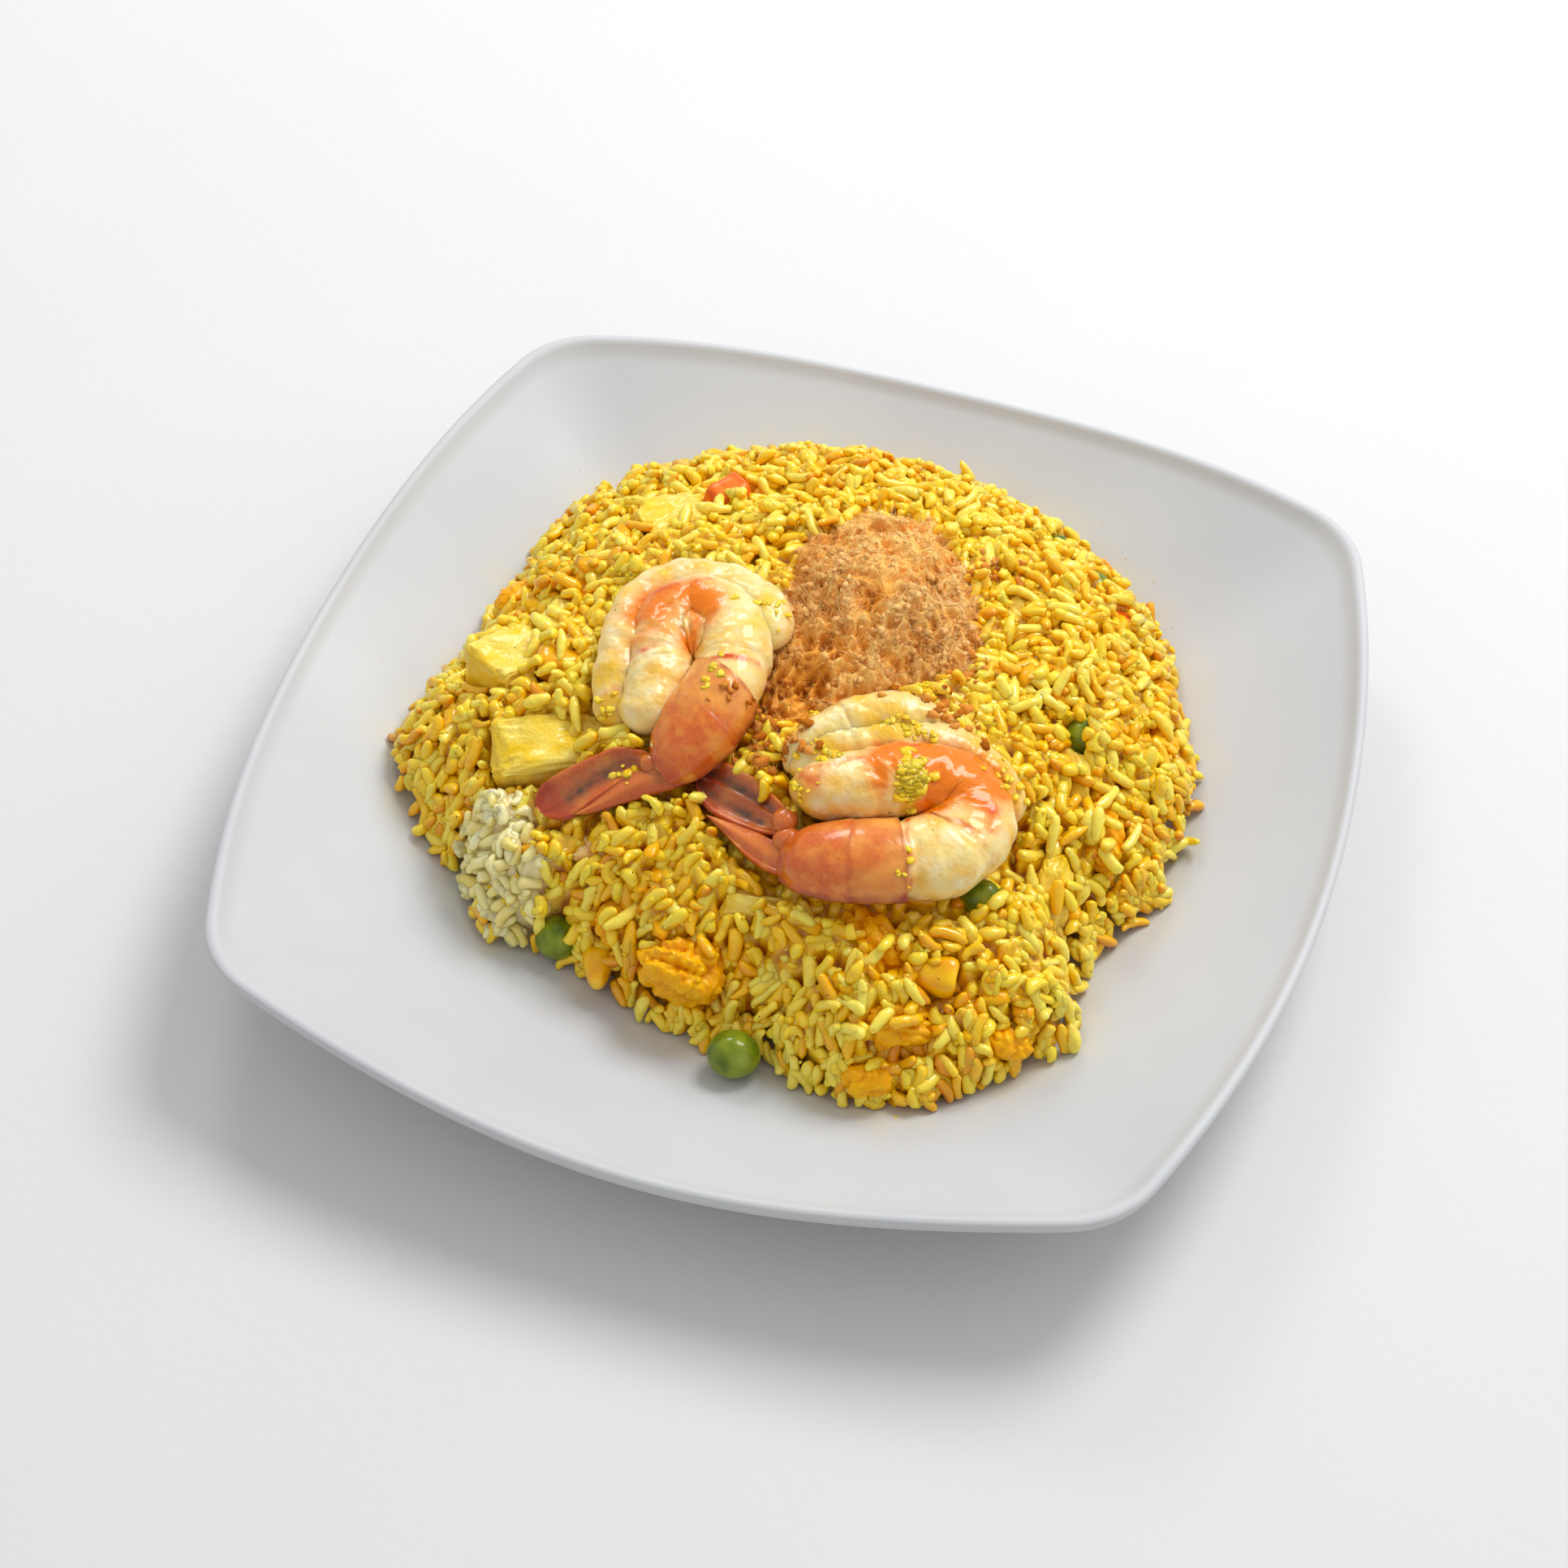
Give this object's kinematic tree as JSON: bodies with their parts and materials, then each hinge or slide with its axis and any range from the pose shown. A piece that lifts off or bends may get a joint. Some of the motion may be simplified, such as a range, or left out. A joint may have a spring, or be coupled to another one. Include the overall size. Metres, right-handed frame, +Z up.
{
  "type": "fried rice",
  "caption": "Rounded square coupe plate heaped with yellow fried rice, topped with shrimps, meat floss, pineapple, egg, peas, corn and carrot.",
  "frame": {"origin": "on the surface that the plate stands on, under the middle of the plate", "axes": "+Z up; +X and +Y towards the middles of two neighbouring sides of the plate, the heap's front towards -Y"},
  "size_m": [0.23, 0.23, 0.0532],
  "materials": {
    "melamine": "satin glazed",
    "curry_rice": "moist",
    "cooked_shrimp": "moist glossy",
    "pineapple": "moist",
    "carrot": "moist",
    "pea": "moist glossy",
    "sweetcorn": "glossy",
    "scrambled_egg": "moist",
    "meat_floss": "dry fibrous"
  },
  "bodies": {
    "root": {"plate": "melamine", "shrimp_left": "cooked_shrimp", "shrimp_right": "cooked_shrimp", "pineapple_1": "pineapple", "pineapple_2": "pineapple", "pineapple_3": "pineapple", "pineapple_4": "pineapple", "pineapple_5": "pineapple", "pineapple_6": "pineapple", "pineapple_7": "pineapple", "pineapple_8": "pineapple", "pineapple_9": "pineapple", "pineapple_10": "pineapple", "pineapple_11": "pineapple", "carrot_1": "carrot", "carrot_2": "carrot", "carrot_3": "carrot", "pea_1": "pea", "pea_2": "pea", "pea_3": "pea", "pea_4": "pea", "pea_5": "pea", "pea_6": "pea", "corn_1": "sweetcorn", "corn_2": "sweetcorn", "corn_3": "sweetcorn", "egg_1": "scrambled_egg", "egg_2": "scrambled_egg", "egg_3": "scrambled_egg", "egg_4": "scrambled_egg", "egg_5": "scrambled_egg", "egg_6": "scrambled_egg", "egg_7": "scrambled_egg", "egg_8": "scrambled_egg", "egg_9": "scrambled_egg", "egg_10": "scrambled_egg", "egg_11": "scrambled_egg", "egg_12": "scrambled_egg", "egg_13": "scrambled_egg", "floss": "meat_floss", "rice": "curry_rice"}
  },
  "joints": []
}
